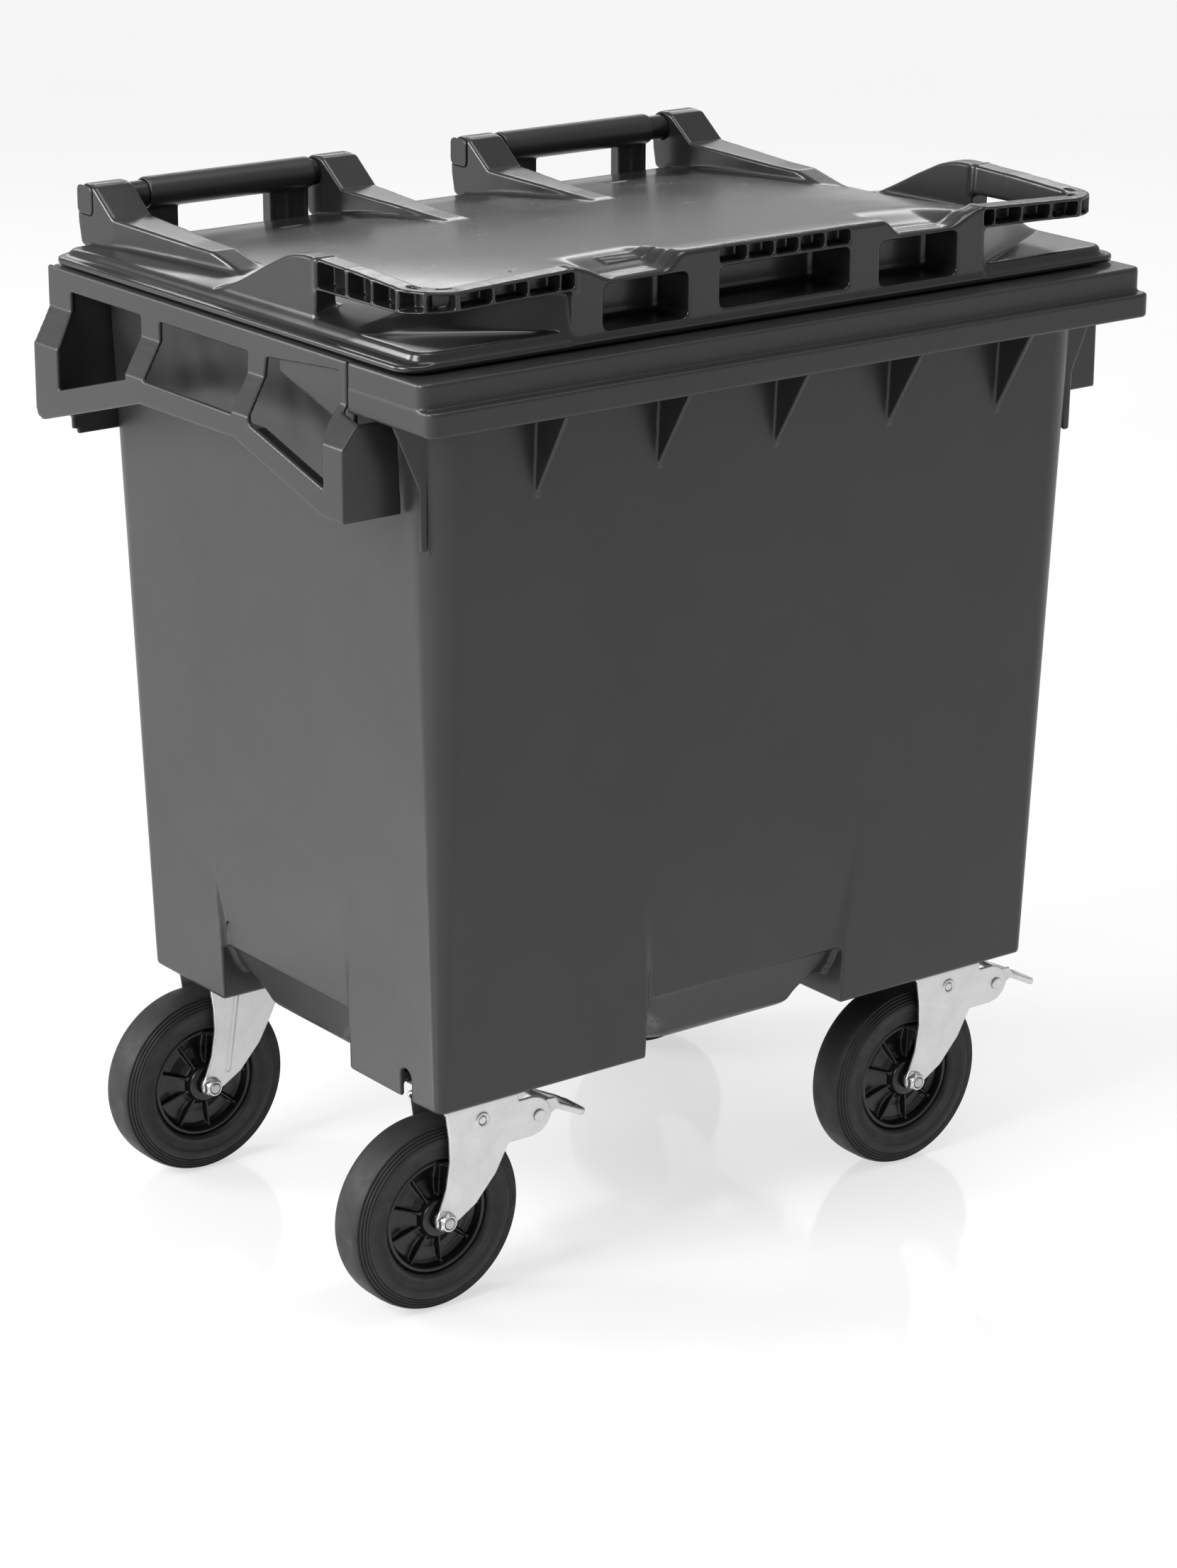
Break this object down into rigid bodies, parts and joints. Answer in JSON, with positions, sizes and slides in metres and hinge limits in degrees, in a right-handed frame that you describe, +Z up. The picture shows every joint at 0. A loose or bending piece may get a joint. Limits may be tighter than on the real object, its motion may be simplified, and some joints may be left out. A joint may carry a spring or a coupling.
{
  "type": "four-wheeled waste container",
  "caption": "Moulded waste container on swivel castors, with a domed hinged lid, hand grips round the lid's front, side lifting frames, rear hinge bars and foot brakes.",
  "frame": {"origin": "on the floor under the middle of the overall bounding box", "axes": "+Z up; -Y is the front with the lid's grips, +Y the hinge side; X runs across the container's width"},
  "size_m": [0.957, 0.7122, 1.0645],
  "materials": {
    "body_plastic": "fine-grained anthracite HDPE, satin",
    "lid_plastic": "smoother anthracite HDPE with soft highlights",
    "pin_plastic": "smooth dark plastic hinge pins",
    "tyre_rubber": "black solid rubber with fine sidewall ribbing",
    "rim_plastic": "glossy black polypropylene",
    "bush_plastic": "black nylon sleeve",
    "zinc_steel": "bright zinc-plated pressed steel"
  },
  "bodies": {
    "container": {"container_tub": "body_plastic", "side_frame_left": "body_plastic", "side_frame_right": "body_plastic", "hinge_bar_left": "body_plastic", "hinge_bar_right": "body_plastic", "castor_top_plate_front_left": "zinc_steel", "castor_ball_race_front_left": "zinc_steel", "castor_kingpin_front_left": "zinc_steel", "castor_top_plate_front_right": "zinc_steel", "castor_ball_race_front_right": "zinc_steel", "castor_kingpin_front_right": "zinc_steel", "castor_top_plate_rear_left": "zinc_steel", "castor_ball_race_rear_left": "zinc_steel", "castor_kingpin_rear_left": "zinc_steel", "castor_top_plate_rear_right": "zinc_steel", "castor_ball_race_rear_right": "zinc_steel", "castor_kingpin_rear_right": "zinc_steel"},
    "lid": {"lid": "lid_plastic", "hinge_pin_left_outer": "pin_plastic", "hinge_pin_left_inner": "pin_plastic", "hinge_pin_right_inner": "pin_plastic", "hinge_pin_right_outer": "pin_plastic"},
    "swivel_front_left": {"castor_fork_front_left": "zinc_steel", "castor_bush_front_left": "bush_plastic", "castor_axle_front_left": "zinc_steel", "castor_nut_front_left": "zinc_steel", "brake_pin_front_left": "zinc_steel", "brake_pedal_pin_front_left": "zinc_steel"},
    "wheel_front_left": {"castor_tyre_front_left": "tyre_rubber", "castor_rim_front_left": "rim_plastic"},
    "brake_pedal_front_left": {"brake_pedal_front_left": "zinc_steel"},
    "brake_shoe_front_left": {"brake_shoe_front_left": "zinc_steel"},
    "swivel_front_right": {"castor_fork_front_right": "zinc_steel", "castor_bush_front_right": "bush_plastic", "castor_axle_front_right": "zinc_steel", "castor_nut_front_right": "zinc_steel", "brake_pin_front_right": "zinc_steel", "brake_pedal_pin_front_right": "zinc_steel"},
    "wheel_front_right": {"castor_tyre_front_right": "tyre_rubber", "castor_rim_front_right": "rim_plastic"},
    "brake_pedal_front_right": {"brake_pedal_front_right": "zinc_steel"},
    "brake_shoe_front_right": {"brake_shoe_front_right": "zinc_steel"},
    "swivel_rear_left": {"castor_fork_rear_left": "zinc_steel", "castor_bush_rear_left": "bush_plastic", "castor_axle_rear_left": "zinc_steel", "castor_nut_rear_left": "zinc_steel"},
    "wheel_rear_left": {"castor_tyre_rear_left": "tyre_rubber", "castor_rim_rear_left": "rim_plastic"},
    "swivel_rear_right": {"castor_fork_rear_right": "zinc_steel", "castor_bush_rear_right": "bush_plastic", "castor_axle_rear_right": "zinc_steel", "castor_nut_rear_right": "zinc_steel"},
    "wheel_rear_right": {"castor_tyre_rear_right": "tyre_rubber", "castor_rim_rear_right": "rim_plastic"}
  },
  "joints": [
    {"name": "lid_hinge", "type": "hinge", "parent": "container", "child": "lid", "pos_m": [0, 0.33855, 1.043], "axis": [-1, 0, 0], "range_deg": [0, 270]},
    {"name": "swivel_turn_front_left", "type": "hinge", "parent": "container", "child": "swivel_front_left", "pos_m": [-0.3099, -0.21915, 0.2275], "axis": [0, 0, 1], "continuous": true},
    {"name": "wheel_roll_front_left", "type": "hinge", "parent": "swivel_front_left", "child": "wheel_front_left", "pos_m": [-0.3703, -0.21915, 0.1], "axis": [0, 1, 0], "continuous": true},
    {"name": "brake_pedal_press_front_left", "type": "hinge", "parent": "swivel_front_left", "child": "brake_pedal_front_left", "pos_m": [-0.2539, -0.21915, 0.186], "axis": [0, 1, 0], "range_deg": [0, 14]},
    {"name": "brake_shoe_grip_front_left", "type": "hinge", "parent": "swivel_front_left", "child": "brake_shoe_front_left", "pos_m": [-0.3246, -0.21915, 0.1984], "axis": [0, 1, 0], "range_deg": [0, 3.5]},
    {"name": "swivel_turn_front_right", "type": "hinge", "parent": "container", "child": "swivel_front_right", "pos_m": [0.3099, -0.21915, 0.2275], "axis": [0, 0, 1], "continuous": true},
    {"name": "wheel_roll_front_right", "type": "hinge", "parent": "swivel_front_right", "child": "wheel_front_right", "pos_m": [0.2495, -0.21915, 0.1], "axis": [0, 1, 0], "continuous": true},
    {"name": "brake_pedal_press_front_right", "type": "hinge", "parent": "swivel_front_right", "child": "brake_pedal_front_right", "pos_m": [0.3659, -0.21915, 0.186], "axis": [0, 1, 0], "range_deg": [0, 14]},
    {"name": "brake_shoe_grip_front_right", "type": "hinge", "parent": "swivel_front_right", "child": "brake_shoe_front_right", "pos_m": [0.2952, -0.21915, 0.1984], "axis": [0, 1, 0], "range_deg": [0, 3.5]},
    {"name": "swivel_turn_rear_left", "type": "hinge", "parent": "container", "child": "swivel_rear_left", "pos_m": [-0.3099, 0.21825, 0.2275], "axis": [0, 0, 1], "continuous": true},
    {"name": "wheel_roll_rear_left", "type": "hinge", "parent": "swivel_rear_left", "child": "wheel_rear_left", "pos_m": [-0.3703, 0.21825, 0.1], "axis": [0, 1, 0], "continuous": true},
    {"name": "swivel_turn_rear_right", "type": "hinge", "parent": "container", "child": "swivel_rear_right", "pos_m": [0.3099, 0.21825, 0.2275], "axis": [0, 0, 1], "continuous": true},
    {"name": "wheel_roll_rear_right", "type": "hinge", "parent": "swivel_rear_right", "child": "wheel_rear_right", "pos_m": [0.2495, 0.21825, 0.1], "axis": [0, 1, 0], "continuous": true}
  ],
  "couplings": [
    {"joint": "brake_shoe_grip_front_left", "follows": "brake_pedal_press_front_left", "ratio": 0.25},
    {"joint": "brake_shoe_grip_front_right", "follows": "brake_pedal_press_front_right", "ratio": 0.25}
  ]
}
